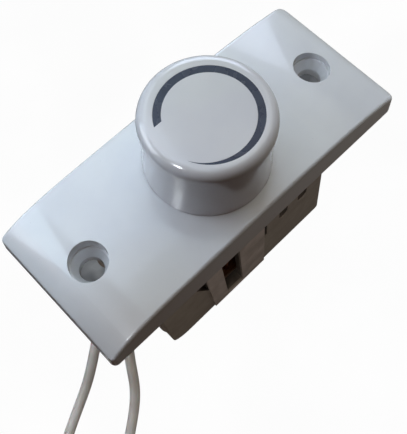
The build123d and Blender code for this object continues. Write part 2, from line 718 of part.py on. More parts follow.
with BuildPart() as wiper_contact:
    with BuildSketch(Plane.XY.offset(disc_top)):
        Circle(WIPER_OUTER)
        Circle(WIPER_INNER, mode=Mode.SUBTRACT)
        with Locations(((WIPER_INNER + WIPER_TRACK + WIPER_TIP) / 2, 0)):
            Rectangle(WIPER_TRACK + WIPER_TIP - WIPER_INNER - WIPER_THICKNESS, LUG_WIDTH)
    extrude(amount=WIPER_THICKNESS)
    with BuildSketch(Plane.XY.offset(disc_top + WIPER_THICKNESS)):
        with Locations((WIPER_TRACK, 0)):
            Circle(WIPER_TIP)
    extrude(amount=wafer_under - disc_top - WIPER_THICKNESS - RUNNING_GAP)
wiper_contact.part.label = "wiper_contact"
export_step(wiper_contact.part, "parts/wiper_contact.step")

# ---- Switch case: a moulded cup under the can ----
post_x = LEAF_TIP_X + POST_WIDTH / 2
post_y = LEAF_Y - CONTACT_GAP - CONTACT_HEIGHT - POST_THICKNESS / 2
anchor = (LEAF_ROOT_X + POST_WIDTH / 2, LEAF_Y + LEAF_THICKNESS + POST_THICKNESS / 2)
fixed_post = (post_x, post_y)
with BuildPart() as switch_case:
    with BuildSketch(Plane.XY.offset(SWITCH_BOTTOM)):
        Circle(CAN_RADIUS)
    extrude(amount=CAN_BOTTOM - SWITCH_BOTTOM)
    with BuildSketch(Plane.XY.offset(SWITCH_BOTTOM + SWITCH_WALL)):
        Circle(CAN_RADIUS - SWITCH_WALL)
    extrude(amount=CAN_BOTTOM - SWITCH_BOTTOM, mode=Mode.SUBTRACT)
    with BuildSketch(Plane.XY.offset(SWITCH_BOTTOM)):
        with Locations(anchor, fixed_post):
            Rectangle(POST_WIDTH + 2 * POST_CLEARANCE, POST_THICKNESS + 2 * POST_CLEARANCE)
    extrude(amount=SWITCH_WALL, mode=Mode.SUBTRACT)
switch_case.part.label = "switch_case"
export_step(switch_case.part, "parts/switch_case.step")

# ---- Cam: one lobe at the off position, fixed on the shaft's lower end ----
with BuildPart() as switch_cam:
    with BuildSketch(Plane.XY.offset(CAM_BOTTOM)):
        Circle(CAM_RADIUS)
        with Locations((0, CAM_LOBE - LOBE_RADIUS - RUNNING_GAP)):
            Circle(LOBE_RADIUS)
        Circle(SHAFT_RADIUS, mode=Mode.SUBTRACT)
    extrude(amount=CAM_TOP - CAM_BOTTOM)
switch_cam.part.label = "switch_cam"
export_step(switch_cam.part, "parts/switch_cam.step")

# ---- Contact leaf: lifted by the lobe when off, springs inward onto the fixed contact when on ----
leaf_end = anchor[0] + POST_WIDTH / 2
with BuildPart() as contact_leaf:
    with BuildSketch(Plane.XY.offset(LEAF_BOTTOM)):
        with Locations(((leaf_end + LEAF_TIP_X) / 2, LEAF_Y + LEAF_THICKNESS / 2)):
            Rectangle(leaf_end - LEAF_TIP_X, LEAF_THICKNESS)
    extrude(amount=LEAF_TOP - LEAF_BOTTOM)
    with BuildSketch(Plane.XZ.offset(-LEAF_Y)):
        with Locations((post_x, (LEAF_TOP + LEAF_BOTTOM) / 2)):
            Circle(CONTACT_RADIUS)
    extrude(amount=CONTACT_HEIGHT)
contact_leaf.part.label = "contact_leaf"
export_step(contact_leaf.part, "parts/contact_leaf.step")

# ---- Switch terminals: the leaf's anchor post and the fixed contact post, both down to the board ----
with BuildPart() as switch_terminals:
    with BuildSketch(Plane.XY.offset(LEG_TIP)):
        with Locations(anchor, fixed_post):
            Rectangle(POST_WIDTH, POST_THICKNESS)
    extrude(amount=LEAF_TOP - LEG_TIP)
switch_terminals.part.label = "switch_terminals"
export_step(switch_terminals.part, "parts/switch_terminals.step")

# ---- Jumpers from the potentiometer's lugs to the board ----
jumper_y = LUG_REACH + LUG_THICKNESS + JUMPER_RADIUS
with BuildPart() as jumper_wires:
    with BuildSketch(Plane.XY.offset(LEG_TIP)):
        with GridLocations(LUG_PITCH, 0, 3, 1):
            with Locations((0, jumper_y)):
                Circle(JUMPER_RADIUS)
    extrude(amount=JUMPER_TOP - LEG_TIP)
jumper_wires.part.label = "jumper_wires"
export_step(jumper_wires.part, "parts/jumper_wires.step")

# ---- Components on the board ----
film_legs = [(FILM_CENTRE[0] + side * FILM_PITCH / 2, FILM_CENTRE[1]) for side in (-1, 1)]
timing_legs = [(TIMING_CENTRE[0] + side * TIMING_PITCH / 2, TIMING_CENTRE[1]) for side in (-1, 1)]
axial_legs = [(x, y) for y in (DIAC_ROW, *RESISTOR_ROWS) for x in AXIAL_X]
choke_legs = [(CHOKE_CENTRE[0] + side * CHOKE_PITCH / 2, CHOKE_LEG_Y) for side in (-1, 1)]
triac_legs = [(TRIAC_X[1] - TRIAC_LEG_SETBACK, step * TRIAC_LEG_PITCH) for step in (-1, 0, 1)]
lead_pads = [(LEAD_PAD_X, y) for y in LEAD_EXITS]
leg_points = film_legs + timing_legs + axial_legs + choke_legs + triac_legs

with BuildPart() as circuit_board:
    with BuildSketch(Plane.XY.offset(BOARD_TOP - BOARD_THICKNESS)):
        with Locations(((BOARD_X[0] + BOARD_X[1]) / 2, 0)):
            Rectangle(BOARD_X[1] - BOARD_X[0], 2 * BOARD_HALF_WIDTH)
        with Locations(*pillars):
            Circle(PILLAR_RADIUS + LEG_ROOT, mode=Mode.SUBTRACT)
        for x, y in pillars:
            with Locations((copysign(abs(x) + PILLAR_RADIUS, x), copysign(abs(y) + PILLAR_RADIUS, y))):
                Rectangle(2 * PILLAR_RADIUS, 2 * PILLAR_RADIUS, mode=Mode.SUBTRACT)
        with Locations(*leg_points):
            Circle(LEG_HOLE, mode=Mode.SUBTRACT)
        with Locations(*lead_pads):
            Circle(LEAD_CORE + SLIP, mode=Mode.SUBTRACT)
        with Locations(anchor, fixed_post):
            Rectangle(
                POST_WIDTH + 2 * POST_CLEARANCE,
                POST_THICKNESS + 2 * POST_CLEARANCE,
                mode=Mode.SUBTRACT,
            )
        with GridLocations(LUG_PITCH, 0, 3, 1):
            with Locations((0, jumper_y)):
                Circle(JUMPER_RADIUS + SLIP, mode=Mode.SUBTRACT)
    extrude(amount=BOARD_THICKNESS)
circuit_board.part.label = "circuit_board"
export_step(circuit_board.part, "parts/circuit_board.step")

with BuildPart() as film_capacitor:
    with BuildSketch(Plane.XY.offset(BOARD_TOP + COMPONENT_LIFT)):
        with Locations(FILM_CENTRE):
            RectangleRounded(FILM_SIZE[0], FILM_SIZE[1], LEG_ROOT)
    extrude(amount=FILM_SIZE[2])
    fillet(film_capacitor.edges().group_by(Axis.Z)[-1], radius=COMPONENT_LIFT)
    add_legs(film_legs)
film_capacitor.part.label = "film_capacitor"
export_step(film_capacitor.part, "parts/film_capacitor.step")

with BuildPart() as timing_capacitor:
    with BuildSketch(Plane.XY.offset(BOARD_TOP + COMPONENT_LIFT)):
        with Locations(TIMING_CENTRE):
            SlotOverall(TIMING_SIZE[0], TIMING_SIZE[1])
    extrude(amount=TIMING_SIZE[2])
    fillet(timing_capacitor.edges().group_by(Axis.Z)[-1], radius=TIMING_SIZE[1] / 3)
    add_legs(timing_legs)
timing_capacitor.part.label = "timing_capacitor"
export_step(timing_capacitor.part, "parts/timing_capacitor.step")

with BuildPart() as diac:
    add_bent_wire(DIAC_ROW, BOARD_TOP + DIAC_LIFT)
    with BuildSketch(Plane.YZ.offset(AXIAL_MIDDLE)):
        with Locations((DIAC_ROW, BOARD_TOP + DIAC_LIFT)):
            Circle(DIAC_RADIUS)
    extrude(amount=DIAC_LENGTH / 2, both=True)
diac.part.label = "diac"
export_step(diac.part, "parts/diac.step")

with BuildPart() as timing_resistors:
    for y in RESISTOR_ROWS:
        add_bent_wire(y, BOARD_TOP + RESISTOR_LIFT)
        with BuildSketch(Plane.YZ.offset(AXIAL_MIDDLE)):
            with Locations((y, BOARD_TOP + RESISTOR_LIFT)):
                Circle(RESISTOR_RADIUS)
        extrude(amount=RESISTOR_LENGTH / 2, both=True)
timing_resistors.part.label = "timing_resistors"
export_step(timing_resistors.part, "parts/timing_resistors.step")

# ---- Choke: toroid core lying on the board, with turns of enamelled wire round it ----
core_bottom = BOARD_TOP + CHOKE_LIFT
core_middle = core_bottom + CHOKE_HEIGHT / 2
core_plane = Plane.XY.offset(core_bottom)
with BuildPart() as choke_core:
    with BuildSketch(core_plane):
        with Locations(CHOKE_CENTRE):
            Circle(CHOKE_OUTER)
            Circle(CHOKE_INNER, mode=Mode.SUBTRACT)
    extrude(amount=CHOKE_HEIGHT)
choke_core.part.label = "choke_core"
export_step(choke_core.part, "parts/choke_core.step")

turn_gap = CHOKE_WIRE + TURN_CLEARANCE
turn_width = CHOKE_OUTER - CHOKE_INNER + 2 * turn_gap
turn_height = CHOKE_HEIGHT + 2 * turn_gap
with BuildPart() as choke_turn:
    with BuildSketch(Plane.XZ):
        with Locations(((CHOKE_OUTER + CHOKE_INNER) / 2, core_middle)):
            RectangleRounded(turn_width + CHOKE_WIRE, turn_height + CHOKE_WIRE, TURN_CORNER)
            Rectangle(turn_width - CHOKE_WIRE, turn_height - CHOKE_WIRE, mode=Mode.SUBTRACT)
    extrude(amount=CHOKE_WIRE, both=True)

with BuildPart() as choke_winding:
    with Locations(Pos(*CHOKE_CENTRE, 0)):
        with PolarLocations(0, CHOKE_TURNS, start_angle=FIRST_TURN):
            add(choke_turn.part)
    add_legs(choke_legs)
choke_winding.part.label = "choke_winding"
export_step(choke_winding.part, "parts/choke_winding.step")

# ---- Triac screwed to its heat sink ----
with BuildPart() as triac:
    with BuildSketch(Plane.XY.offset(TRIAC_BOTTOM)):
        with Locations(((TRIAC_X[0] + TRIAC_X[1]) / 2, 0)):
            Rectangle(TRIAC_X[1] - TRIAC_X[0], TRIAC_WIDTH)
    extrude(amount=TRIAC_TOP - TRIAC_BOTTOM)
    chamfer(triac.edges().filter_by(Axis.Z).group_by(Axis.X)[0], length=TRIAC_CHAMFER)
    with BuildSketch(Plane.XY.offset(TRIAC_TOP)):
        with Locations((TRIAC_X[1] - TAB_THICKNESS / 2, 0)):
            Rectangle(TAB_THICKNESS, TRIAC_WIDTH)
    extrude(amount=TAB_TOP - TRIAC_TOP)
    with BuildSketch(Plane.YZ.offset(TRIAC_X[0])):
        with Locations((0, SINK_SCREW_Z)):
            Circle(TAB_HOLE)
    extrude(amount=SINK_X[1] - TRIAC_X[0], mode=Mode.SUBTRACT)
    with BuildSketch(Plane.XY.offset(LEG_TIP)):
        with Locations(*triac_legs):
            Circle(LEG_RADIUS)
    extrude(amount=TRIAC_BOTTOM - LEG_TIP)
triac.part.label = "triac"
export_step(triac.part, "parts/triac.step")

with BuildPart() as heat_sink:
    with BuildSketch(Plane.XY.offset(BOARD_TOP)):
        with Locations(((SINK_X[0] + SINK_X[1]) / 2, 0)):
            Rectangle(SINK_X[1] - SINK_X[0], SINK_WIDTH)
    extrude(amount=SINK_TOP - BOARD_TOP)
    with BuildSketch(Plane.YZ.offset(TRIAC_X[0])):
        with Locations((0, SINK_SCREW_Z)):
            Circle(SINK_SCREW_HOLE)
    extrude(amount=SINK_X[1] - TRIAC_X[0], mode=Mode.SUBTRACT)
heat_sink.part.label = "heat_sink"
export_step(heat_sink.part, "parts/heat_sink.step")

head_seat = Plane.YZ.offset(TRIAC_X[1] - TAB_THICKNESS)
with BuildPart() as heat_sink_screw:
    with BuildSketch(head_seat):
        with Locations((0, SINK_SCREW_Z)):
            Circle(SINK_SCREW_HEAD)
    extrude(amount=-SINK_SCREW_HEAD_HEIGHT)
    fillet(heat_sink_screw.edges().group_by(Axis.X)[0], radius=SINK_SCREW_HEAD_HEIGHT / 3)
    with BuildSketch(head_seat.offset(-SINK_SCREW_HEAD_HEIGHT)):
        with Locations((0, SINK_SCREW_Z)):
            Rectangle(SINK_SCREW_SLOT[0], 3 * SINK_SCREW_HEAD)
    extrude(amount=SINK_SCREW_SLOT[1], mode=Mode.SUBTRACT)
    with BuildSketch(head_seat):
        with Locations((0, SINK_SCREW_Z)):
            Circle(SINK_SCREW_RADIUS)
    extrude(amount=SINK_X[1] - TRIAC_X[1] + TAB_THICKNESS + LEG_ROOT)
heat_sink_screw.part.label = "heat_sink_screw"
export_step(heat_sink_screw.part, "parts/heat_sink_screw.step")

# ---- Leads: PVC sleeves on copper cores, from the board out through the end wall and away ----
lead_paths = {
    "lead_line": [
        (HOUSING_LEFT, LEAD_EXITS[0], LEAD_EXIT_Z),
        (-33.0, -2.6, -15.0),
        (-39.3, -6.7, -18.5),
        (-45.5, -9.8, -24.5),
        (-52.2, -12.5, -28.8),
        (-60.6, -16.8, -31.8),
        (-70.0, -25.0, FLOOR_LEVEL),
    ],
    "lead_load": [
        (HOUSING_LEFT, LEAD_EXITS[1], LEAD_EXIT_Z),
        (-31.2, -7.2, -14.8),
        (-35.3, -13.4, -17.0),
        (-38.7, -18.0, -22.0),
        (-43.5, -21.9, -27.0),
        (-51.0, -26.9, -31.6),
        (-60.0, -37.0, FLOOR_LEVEL),
    ],
}
cores = []
for (name, points), pad in zip(lead_paths.items(), lead_pads):
    inside = [(*pad, BOARD_TOP + LEAD_RISE), (*pad, LEAD_EXIT_Z - LEAD_BEND)]
    with BuildLine() as bend:
        rise = Line(*inside)
        wall_point = (cavity_left, points[0][1], LEAD_EXIT_Z)
        Spline(inside[1], wall_point, tangents=[(0, 0, 1), (-1, 0, 0)])
        Line(wall_point, points[0])
        Spline(*points, tangents=[(-1, 0, 0), Vector(*points[-1]) - Vector(*points[-2])])
    with BuildPart() as sleeve:
        with BuildSketch(Plane(rise @ 0, z_dir=(0, 0, 1))):
            Circle(LEAD_RADIUS)
            Circle(LEAD_CORE + PRESS_FIT, mode=Mode.SUBTRACT)
        sweep(path=bend.wire())
    sleeve.part.label = name
    export_step(sleeve.part, f"parts/{name}.step")
    away = (Vector(*points[-1]) - Vector(*points[-2])).normalized()
    with BuildLine() as through:
        Line((*pad, LEG_TIP), inside[0])
        add(bend.line)
        Line(points[-1], Vector(*points[-1]) + away * LEAD_STRIP)
    with BuildPart() as core:
        with BuildSketch(Plane((*pad, LEG_TIP), z_dir=(0, 0, 1))):
            Circle(LEAD_CORE)
        sweep(path=through.wire())
    cores.append(core.part)

with BuildPart() as lead_cores:
    add(cores)
lead_cores.part.label = "lead_cores"
export_step(lead_cores.part, "parts/lead_cores.step")
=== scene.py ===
"""Looks of a rotary dimmer switch: a glossy white plate and knob, a taupe rear housing with the switch
and the dimmer circuit inside, and two PVC leads.

Metres, in the frame of the CAD part: +Z from the wall towards the hand, +X along the plate away from
the leads. Sizes below are in millimetres times MM.
"""

import json
import math

import bmesh
import bpy
from mathutils import Matrix, Vector


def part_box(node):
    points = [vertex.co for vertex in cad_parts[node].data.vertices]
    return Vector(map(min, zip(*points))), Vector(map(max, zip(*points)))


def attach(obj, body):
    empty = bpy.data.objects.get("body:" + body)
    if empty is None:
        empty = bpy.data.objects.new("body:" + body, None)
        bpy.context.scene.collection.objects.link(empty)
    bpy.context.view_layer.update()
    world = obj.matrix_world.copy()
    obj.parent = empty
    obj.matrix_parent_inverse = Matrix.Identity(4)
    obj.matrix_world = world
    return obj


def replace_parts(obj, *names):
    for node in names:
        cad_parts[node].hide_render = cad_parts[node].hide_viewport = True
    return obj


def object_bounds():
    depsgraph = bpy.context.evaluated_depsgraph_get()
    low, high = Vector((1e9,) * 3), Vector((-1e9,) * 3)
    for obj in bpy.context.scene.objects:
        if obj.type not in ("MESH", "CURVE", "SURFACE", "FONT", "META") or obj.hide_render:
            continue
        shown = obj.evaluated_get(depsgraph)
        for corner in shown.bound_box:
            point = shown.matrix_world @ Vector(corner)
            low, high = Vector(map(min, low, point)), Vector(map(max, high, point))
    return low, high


MM = 0.001

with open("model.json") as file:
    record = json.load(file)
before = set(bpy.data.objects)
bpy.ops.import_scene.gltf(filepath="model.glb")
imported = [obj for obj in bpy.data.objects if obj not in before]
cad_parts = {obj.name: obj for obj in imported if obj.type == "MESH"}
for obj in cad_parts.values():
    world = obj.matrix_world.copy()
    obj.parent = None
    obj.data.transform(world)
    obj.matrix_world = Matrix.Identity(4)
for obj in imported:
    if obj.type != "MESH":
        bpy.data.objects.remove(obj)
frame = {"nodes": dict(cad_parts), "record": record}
cad_low, cad_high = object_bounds()
scene = bpy.context.scene


# ---- Node helpers ----
BEVEL_SAMPLES = 4
# Cosine between the true and the rounded normal: where an edge begins, and where it is sharpest.
EDGE_BEGINS, EDGE_SHARPEST = 0.97, 0.7
# Noise keeps near its middle, so these are its practical lowest and highest values.
NOISE_LOW, NOISE_HIGH = 0.3, 0.7
# The colour sockets of Blender's Mix node have no names of their own.
MIX_FIRST, MIX_SECOND, MIX_RESULT = 6, 7, 2


class Nodes:
    """A node tree, with short ways to add nodes and link them."""

    def __init__(self, tree):
        self.tree = tree

    def node(self, kind, **settings):
        made = self.tree.nodes.new(kind)
        for key, value in settings.items():
            setattr(made, key, value)
        return made

    def feed(self, socket, value):
        """Links a socket, or sets it to a plain value."""
        if isinstance(value, bpy.types.NodeSocket):
            self.tree.links.new(value, socket)
        else:
            socket.default_value = value

    def joined(self, kind, operation, *values):
        """A node of one operation, with its inputs fed in order."""
        made = self.node(kind, operation=operation)
        for socket, value in zip(made.inputs, values):
            self.feed(socket, value)
        return made

    def math(self, operation, *values):
        return self.joined("ShaderNodeMath", operation, *values).outputs[0]

    def vector_math(self, operation, *values):
        """A vector operation's result: a number for a dot product or a distance."""
        made = self.joined("ShaderNodeVectorMath", operation, *values)
        return made.outputs["Value" if operation in ("DOT_PRODUCT", "DISTANCE") else "Vector"]

    def between(self, share, first, second):
        """One shader where share is 0 and another where it is 1."""
        made = self.node("ShaderNodeMixShader")
        for socket, value in zip(made.inputs, (share, first, second)):
            self.feed(socket, value)
        return made.outputs[0]


class Surface(Nodes):
    """The nodes of one material, with textures in the object's own coordinates."""

    def __init__(self, material):
        super().__init__(material.node_tree)
        self.material = material
        self.place = self.node("ShaderNodeTexCoord").outputs["Object"]

    @classmethod
    def fresh(cls, name):
        """A new material of one Principled shader."""
        material = bpy.data.materials.new(name)
        material.use_nodes = True
        material.node_tree.nodes.clear()
        made = cls(material)
        output = made.node("ShaderNodeOutputMaterial")
        made.shader = made.node("ShaderNodeBsdfPrincipled")
        made.feed(output.inputs["Surface"], made.shader.outputs["BSDF"])
        return made

    def result(self):
        """The socket that takes the finished shader."""
        output = next(n for n in self.tree.nodes if n.type == "OUTPUT_MATERIAL")
        return output.inputs["Surface"]

    def set(self, **inputs):
        """Sets the shader's inputs by name, with underscores for spaces."""
        for key, value in inputs.items():
            self.feed(self.shader.inputs[key.replace("_", " ")], value)

    def stretch(self, scales):
        """The object's coordinates, scaled along each axis."""
        made = self.node("ShaderNodeMapping")
        self.feed(made.inputs["Vector"], self.place)
        made.inputs["Scale"].default_value = scales
        return made.outputs["Vector"]

    def noise(self, size, detail=3.0, distortion=0.0, stretched=(1, 1, 1)):
        """Noise from 0 to 1 whose lumps are about size metres across."""
        made = self.node("ShaderNodeTexNoise")
        self.feed(made.inputs["Vector"], self.stretch(stretched))
        made.inputs["Scale"].default_value = 1 / size
        made.inputs["Detail"].default_value = detail
        made.inputs["Distortion"].default_value = distortion
        return made.outputs["Fac"]

    def specks(self, size):
        """Distance to the nearest of scattered points, which lie about size metres apart."""
        made = self.node("ShaderNodeTexVoronoi", feature="F1")
        self.feed(made.inputs["Vector"], self.place)
        made.inputs["Scale"].default_value = 1 / size
        return made.outputs["Distance"]

    def span(self, value, low, high, start=0.0, end=1.0):
        """value going from low to high, mapped to start..end and held there."""
        made = self.node("ShaderNodeMapRange", clamp=True)
        for key, number in (("From Min", low), ("From Max", high), ("To Min", start), ("To Max", end)):
            made.inputs[key].default_value = number
        self.feed(made.inputs["Value"], value)
        return made.outputs["Result"]

    def patches(self, begins, full, **texture):
        """Noise as patches: 0 below one of its levels, and 1 beyond another."""
        return self.span(self.noise(**texture), begins, full)

    def varied(self, start, end, **texture):
        """A number that wanders with noise from start to end."""
        return self.span(self.noise(**texture), NOISE_LOW, NOISE_HIGH, start, end)

    def mix(self, share, first, second):
        made = self.node("ShaderNodeMix", data_type="RGBA")
        self.feed(made.inputs["Factor"], share)
        self.feed(made.inputs[MIX_FIRST], colour_of(first))
        self.feed(made.inputs[MIX_SECOND], colour_of(second))
        return made.outputs[MIX_RESULT]

    def tint(self, base, share, strength, colour):
        """base, taken towards a colour by a share of a strength."""
        return self.mix(self.math("MULTIPLY", share, strength), base, colour)

    def axis(self, letter):
        """One coordinate of the object, in metres."""
        made = self.node("ShaderNodeSeparateXYZ")
        self.feed(made.inputs[0], self.place)
        return made.outputs[letter]

    def soft_edge(self, radius):
        """The normal, with sharp edges rounded."""
        made = self.node("ShaderNodeBevel", samples=BEVEL_SAMPLES)
        made.inputs["Radius"].default_value = radius
        return made.outputs["Normal"]

    def edges(self, radius):
        """1 on sharp edges and 0 on flat areas, from how far a rounded normal turns away."""
        true = self.node("ShaderNodeNewGeometry").outputs["Normal"]
        alike = self.vector_math("DOT_PRODUCT", self.soft_edge(radius), true)
        return self.span(alike, EDGE_BEGINS, EDGE_SHARPEST)

    def bump(self, height, depth, edge=None):
        """A normal pushed about by a height from 0 to 1, depth metres deep, with edges rounded."""
        made = self.node("ShaderNodeBump")
        made.inputs["Strength"].default_value = 1.0
        made.inputs["Distance"].default_value = depth
        self.feed(made.inputs["Height"], height)
        if edge is not None:
            self.feed(made.inputs["Normal"], self.soft_edge(edge))
        return made.outputs["Normal"]

    def relief(self, depth, edge=None, **texture):
        """A bump whose height is noise."""
        return self.bump(self.noise(**texture), depth, edge)


def colour_of(value):
    """An RGB triple as the four numbers a colour socket takes; sockets pass through."""
    if isinstance(value, bpy.types.NodeSocket):
        return value
    return (*value[:3], 1.0)


def scaled(colour, factor):
    """A colour made darker or paler, held at full white."""
    return [min(1, factor * c) for c in colour]


TINNED = ((0.68, 0.67, 0.63), (0.52, 0.50, 0.46))


def tinned_beyond(material, low, high):
    """Makes tinned metal of what lies below one height or above another: legs, and a metal tab."""
    s = Surface(material)
    result = s.result()
    body = result.links[0].from_socket
    height = s.axis("Z")
    outside = s.math(
        "MAXIMUM", s.math("LESS_THAN", height, low), s.math("GREATER_THAN", height, high)
    )
    metal = s.node("ShaderNodeBsdfPrincipled")
    metal.inputs["Metallic"].default_value = 1.0
    s.feed(metal.inputs["Base Color"], s.mix(s.noise(size=1.1 * MM), *TINNED))
    s.feed(metal.inputs["Roughness"], s.varied(0.24, 0.42, size=0.3 * MM))
    s.feed(result, s.between(outside, body, metal.outputs[0]))


# ---- Plastics ----
PLASTIC_IOR = 1.5
# Painted shade: a darker, warmer tone round the plate's near corner at the lead end, standing in for a soft
# shadow there, from its core to its reach.
CORNER_SHADE_CORE = 3.0 * MM
CORNER_SHADE_REACH = 18.0 * MM
CORNER_SHADE_TONE = (0.59, 0.58, 0.575)
# Specks of dust: how far apart, and from the middle of each, where it ends and where it is full.
DUST_APART = 2.6 * MM
DUST_EDGE, DUST_CORE = 0.05, 0.02
# The painted shade of the housing's sunken panels begins and ends its ramp, and the painted shade of its
# inside begins, at these shares of the panels' depth.
PANEL_BEGINS, PANEL_ENDS, INSIDE_BEGINS = 0.3, 0.7, 1.3
INSIDE_SHADE = 0.24


def glossy_plastic(name, colour, shade, roughness=0.16, shaded_corner=None):
    """Polished moulding: faint mottling, orange peel, hairline scratches, dust, and a painted shadow round
    one corner.
    """
    s = Surface.fresh(name)
    base = s.mix(s.patches(0.35, 0.65, size=9 * MM, detail=2), colour, shade)
    # Painted shade: the colour darkens and warms towards the shaded corner, standing in for a soft shadow
    # there.
    if shaded_corner is not None:
        away = s.vector_math("DISTANCE", s.place, shaded_corner)
        base = s.mix(s.span(away, CORNER_SHADE_CORE, CORNER_SHADE_REACH, 1.0, 0.0), base, CORNER_SHADE_TONE)
    dust = s.span(s.specks(DUST_APART), DUST_EDGE, DUST_CORE)
    base = s.tint(base, dust, 0.25, scaled(colour, 0.5))
    scratch = s.patches(0.7, 0.76, size=0.9 * MM, detail=5, distortion=1.4, stretched=(0.06, 1, 0.6))
    rough = s.varied(roughness, roughness + 0.08, size=5 * MM)
    rough = s.math("ADD", rough, s.math("MULTIPLY", scratch, 0.1))
    peeled = s.relief(depth=0.002 * MM, edge=0.15 * MM, size=0.6 * MM, detail=1)
    s.set(Base_Color=base, Roughness=rough, Normal=peeled, IOR=PLASTIC_IOR)
    s.set(Coat_Weight=0.5, Coat_Roughness=0.04)
    s.set(Subsurface_Weight=0.08, Subsurface_Scale=0.6 * MM, Subsurface_Radius=(1.0, 0.9, 0.8))
    return s.material


def grimy_satin(s, base, dark, worn, grime, streaks, wear, roughness):
    """Satin moulding with grime in patches and downward streaks, and paler along its edges.

    grime is the noise levels where patches begin and are full, and their strength; streaks and wear
    are strengths; roughness is its lowest and highest.
    """
    begins, full, strength = grime
    patches = s.patches(begins, full, size=7 * MM, detail=5, distortion=0.6)
    base = s.tint(base, patches, strength, dark)
    flow = s.patches(0.45, 0.62, size=1.6 * MM, detail=6, stretched=(1, 1, 0.22))
    base = s.tint(base, flow, streaks, dark)
    base = s.tint(base, s.edges(0.35 * MM), wear, worn)
    grain = s.relief(depth=0.006 * MM, edge=0.12 * MM, size=0.22 * MM, detail=2)
    s.set(Base_Color=base, Roughness=s.varied(*roughness, size=3 * MM, detail=4), Normal=grain)
    s.set(IOR=PLASTIC_IOR)
    return s.material


def satin_plastic(name, colour, dark, worn):
    """Plain satin moulding."""
    s = Surface.fresh(name)
    return grimy_satin(
        s, colour, dark, worn, grime=(0.4, 0.68, 1.0), streaks=0.25, wear=0.5, roughness=(0.34, 0.54)
    )


def recessed_satin(name, rib, shaded_recess, dark, face, depth, low, high):
    """Satin moulding with panels set back by depth from the faces at |Y| = face, painted in a darker colour
    as painted shade in the recesses.

    Between the corners low and high the colour is painted dark, as painted shade inside the box.
    """
    s = Surface.fresh(name)
    across = s.math("ABSOLUTE", s.axis("Y"))
    # Painted shade: the sunken panels take the darker shaded colour, as shade falls in the recesses.
    recess_shade = s.span(across, face - PANEL_BEGINS * depth, face - PANEL_ENDS * depth)
    base = s.mix(recess_shade, rib, shaded_recess)
    # Painted shade: inside the housing the colour is painted dark, as shade falls inside the box.
    inside = s.math("LESS_THAN", across, face - INSIDE_BEGINS * depth)
    for test, corner in (("GREATER_THAN", low), ("LESS_THAN", high)):
        for letter, edge in zip("XYZ", corner):
            inside = s.math("MULTIPLY", inside, s.math(test, s.axis(letter), edge))
    base = s.mix(inside, base, scaled(shaded_recess, INSIDE_SHADE))
    worn = scaled(rib, 1.25)
    return grimy_satin(
        s, base, dark, worn, grime=(0.42, 0.72, 0.55), streaks=0.18, wear=0.35, roughness=(0.36, 0.54)
    )


def banded(name, colour, bands, middle, roughness=0.3, transmission=0.0):
    """Lacquered or glass body along X with coloured bands: bands are (from, to, colour) about middle."""
    s = Surface.fresh(name)
    along = s.math("SUBTRACT", s.axis("X"), middle)
    base = s.mix(s.patches(0.35, 0.65, size=1.2 * MM), colour, scaled(colour, 0.86))
    for start, stop, tint in bands:
        inside = s.math("MULTIPLY", s.math("GREATER_THAN", along, start), s.math("LESS_THAN", along, stop))
        base = s.mix(inside, base, tint)
    rough = s.varied(roughness - 0.06, roughness + 0.08, size=0.5 * MM)
    s.set(Base_Color=base, Roughness=rough, Normal=s.relief(depth=0.004 * MM, size=0.3 * MM))
    s.set(Coat_Weight=0.3, Transmission_Weight=transmission)
    return s.material


def printed_ink(name, colour, pale):
    """A thin, slightly uneven screen-printed film."""
    s = Surface.fresh(name)
    base = s.mix(s.patches(0.3, 0.8, size=2.5 * MM), colour, pale)
    relief = s.relief(depth=0.001 * MM, size=1.5 * MM, detail=1)
    s.set(Base_Color=base, Roughness=s.varied(0.24, 0.3, size=3 * MM), Normal=relief)
    return s.material


def soft_pvc(name, colour, dirt):
    """Extruded insulation: a waxy sheen, smudges and a faint unevenness."""
    s = Surface.fresh(name)
    base = s.tint(colour, s.patches(0.42, 0.7, size=6 * MM), 0.6, dirt)
    relief = s.relief(depth=0.003 * MM, size=1.0 * MM, detail=2)
    s.set(Base_Color=base, Roughness=s.varied(0.34, 0.46, size=5 * MM), Normal=relief)
    s.set(Subsurface_Weight=0.12, Subsurface_Scale=0.4 * MM)
    return s.material


def dark_moulding(name, colour, swirl, roughness=0.4):
    """Filled thermoset: swirls of filler and a fine pitted skin."""
    s = Surface.fresh(name)
    base = s.mix(s.patches(0.45, 0.7, size=3 * MM, detail=5, distortion=2.5), colour, swirl)
    rough = s.varied(roughness - 0.08, roughness + 0.1, size=0.8 * MM)
    pits = s.relief(depth=0.006 * MM, edge=0.08 * MM, size=0.12 * MM, detail=2)
    s.set(Base_Color=base, Roughness=rough, Normal=pits)
    return s.material


def laminate(name, colour, fibre):
    """Phenolic paper: short fibres in a resin sheet."""
    s = Surface.fresh(name)
    fibres = s.patches(0.48, 0.62, size=0.35 * MM, detail=6, stretched=(0.3, 1, 1))
    base = s.mix(fibres, colour, fibre)
    relief = s.bump(fibres, depth=0.004 * MM)
    s.set(Base_Color=base, Roughness=s.varied(0.38, 0.55, size=2 * MM), Normal=relief)
    return s.material


# ---- Metals ----
def plated_metal(name, colour, stain, roughness=0.3, brushed=(0.05, 1, 1)):
    """Plated or drawn metal: fine lines one way, cloudy stains and brighter edges."""
    s = Surface.fresh(name)
    base = s.mix(s.patches(0.42, 0.7, size=2.2 * MM, detail=5), colour, stain)
    base = s.tint(base, s.edges(0.12 * MM), 0.5, scaled(colour, 1.2))
    lines = {"size": 0.09 * MM, "stretched": brushed}
    rough = s.varied(roughness - 0.08, roughness + 0.12, **lines)
    scored = s.relief(depth=0.0025 * MM, edge=0.06 * MM, **lines)
    s.set(Base_Color=base, Metallic=1.0, Roughness=rough, Normal=scored)
    return s.material


